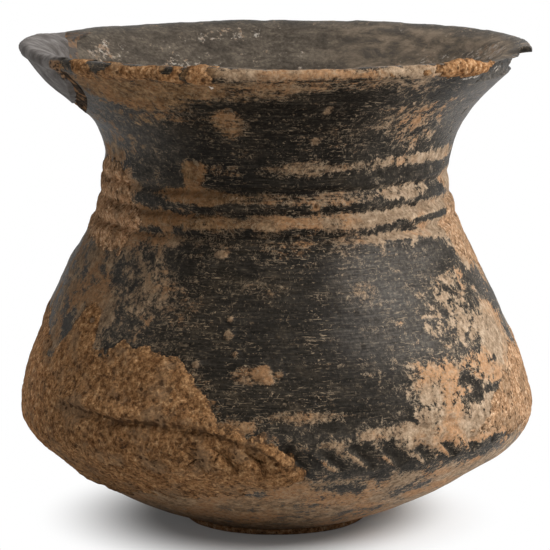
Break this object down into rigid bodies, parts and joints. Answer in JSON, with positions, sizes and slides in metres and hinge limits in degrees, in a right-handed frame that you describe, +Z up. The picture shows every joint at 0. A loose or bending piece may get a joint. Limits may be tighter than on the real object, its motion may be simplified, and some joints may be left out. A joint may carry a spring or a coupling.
{
  "type": "handmade ceramic cup",
  "caption": "Handmade dark clay cup with a flared mouth, ribbed neck, low impressed belly, small flat foot, a mended lip and soil crusts.",
  "frame": {"origin": "centre of the foot's underside, on the surface the cup stands on", "axes": "+Z up along the cup's axis, -Y towards the side seen in the picture, +X to its right"},
  "size_m": [0.1235, 0.1228, 0.1149],
  "materials": {
    "burnished_clay": "satin",
    "worn_clay": "matte",
    "repair_fill": "matte",
    "repair_mortar": "rough",
    "soil_crust": "rough"
  },
  "bodies": {
    "root": {"foot_disc": "worn_clay", "bowl_base": "worn_clay", "bowl_wall_ring": "worn_clay", "belly_ring": "burnished_clay", "shoulder_ring_lower": "burnished_clay", "shoulder_ring_upper": "burnished_clay", "neck_collar": "burnished_clay", "flared_mouth": "burnished_clay", "mouth_repair_infill": "repair_fill", "mouth_repair_mortar": "repair_mortar", "lip_crust_right": "soil_crust", "lip_crust_left": "soil_crust", "lip_crust_corner": "soil_crust", "lip_shell_lump": "soil_crust", "neck_crust_left": "soil_crust", "neck_crust_right": "soil_crust", "shoulder_crust_left": "soil_crust", "belly_crust_left": "soil_crust", "bowl_crust_left": "soil_crust", "belly_crust_front": "soil_crust", "belly_crust_right": "soil_crust"}
  },
  "joints": []
}
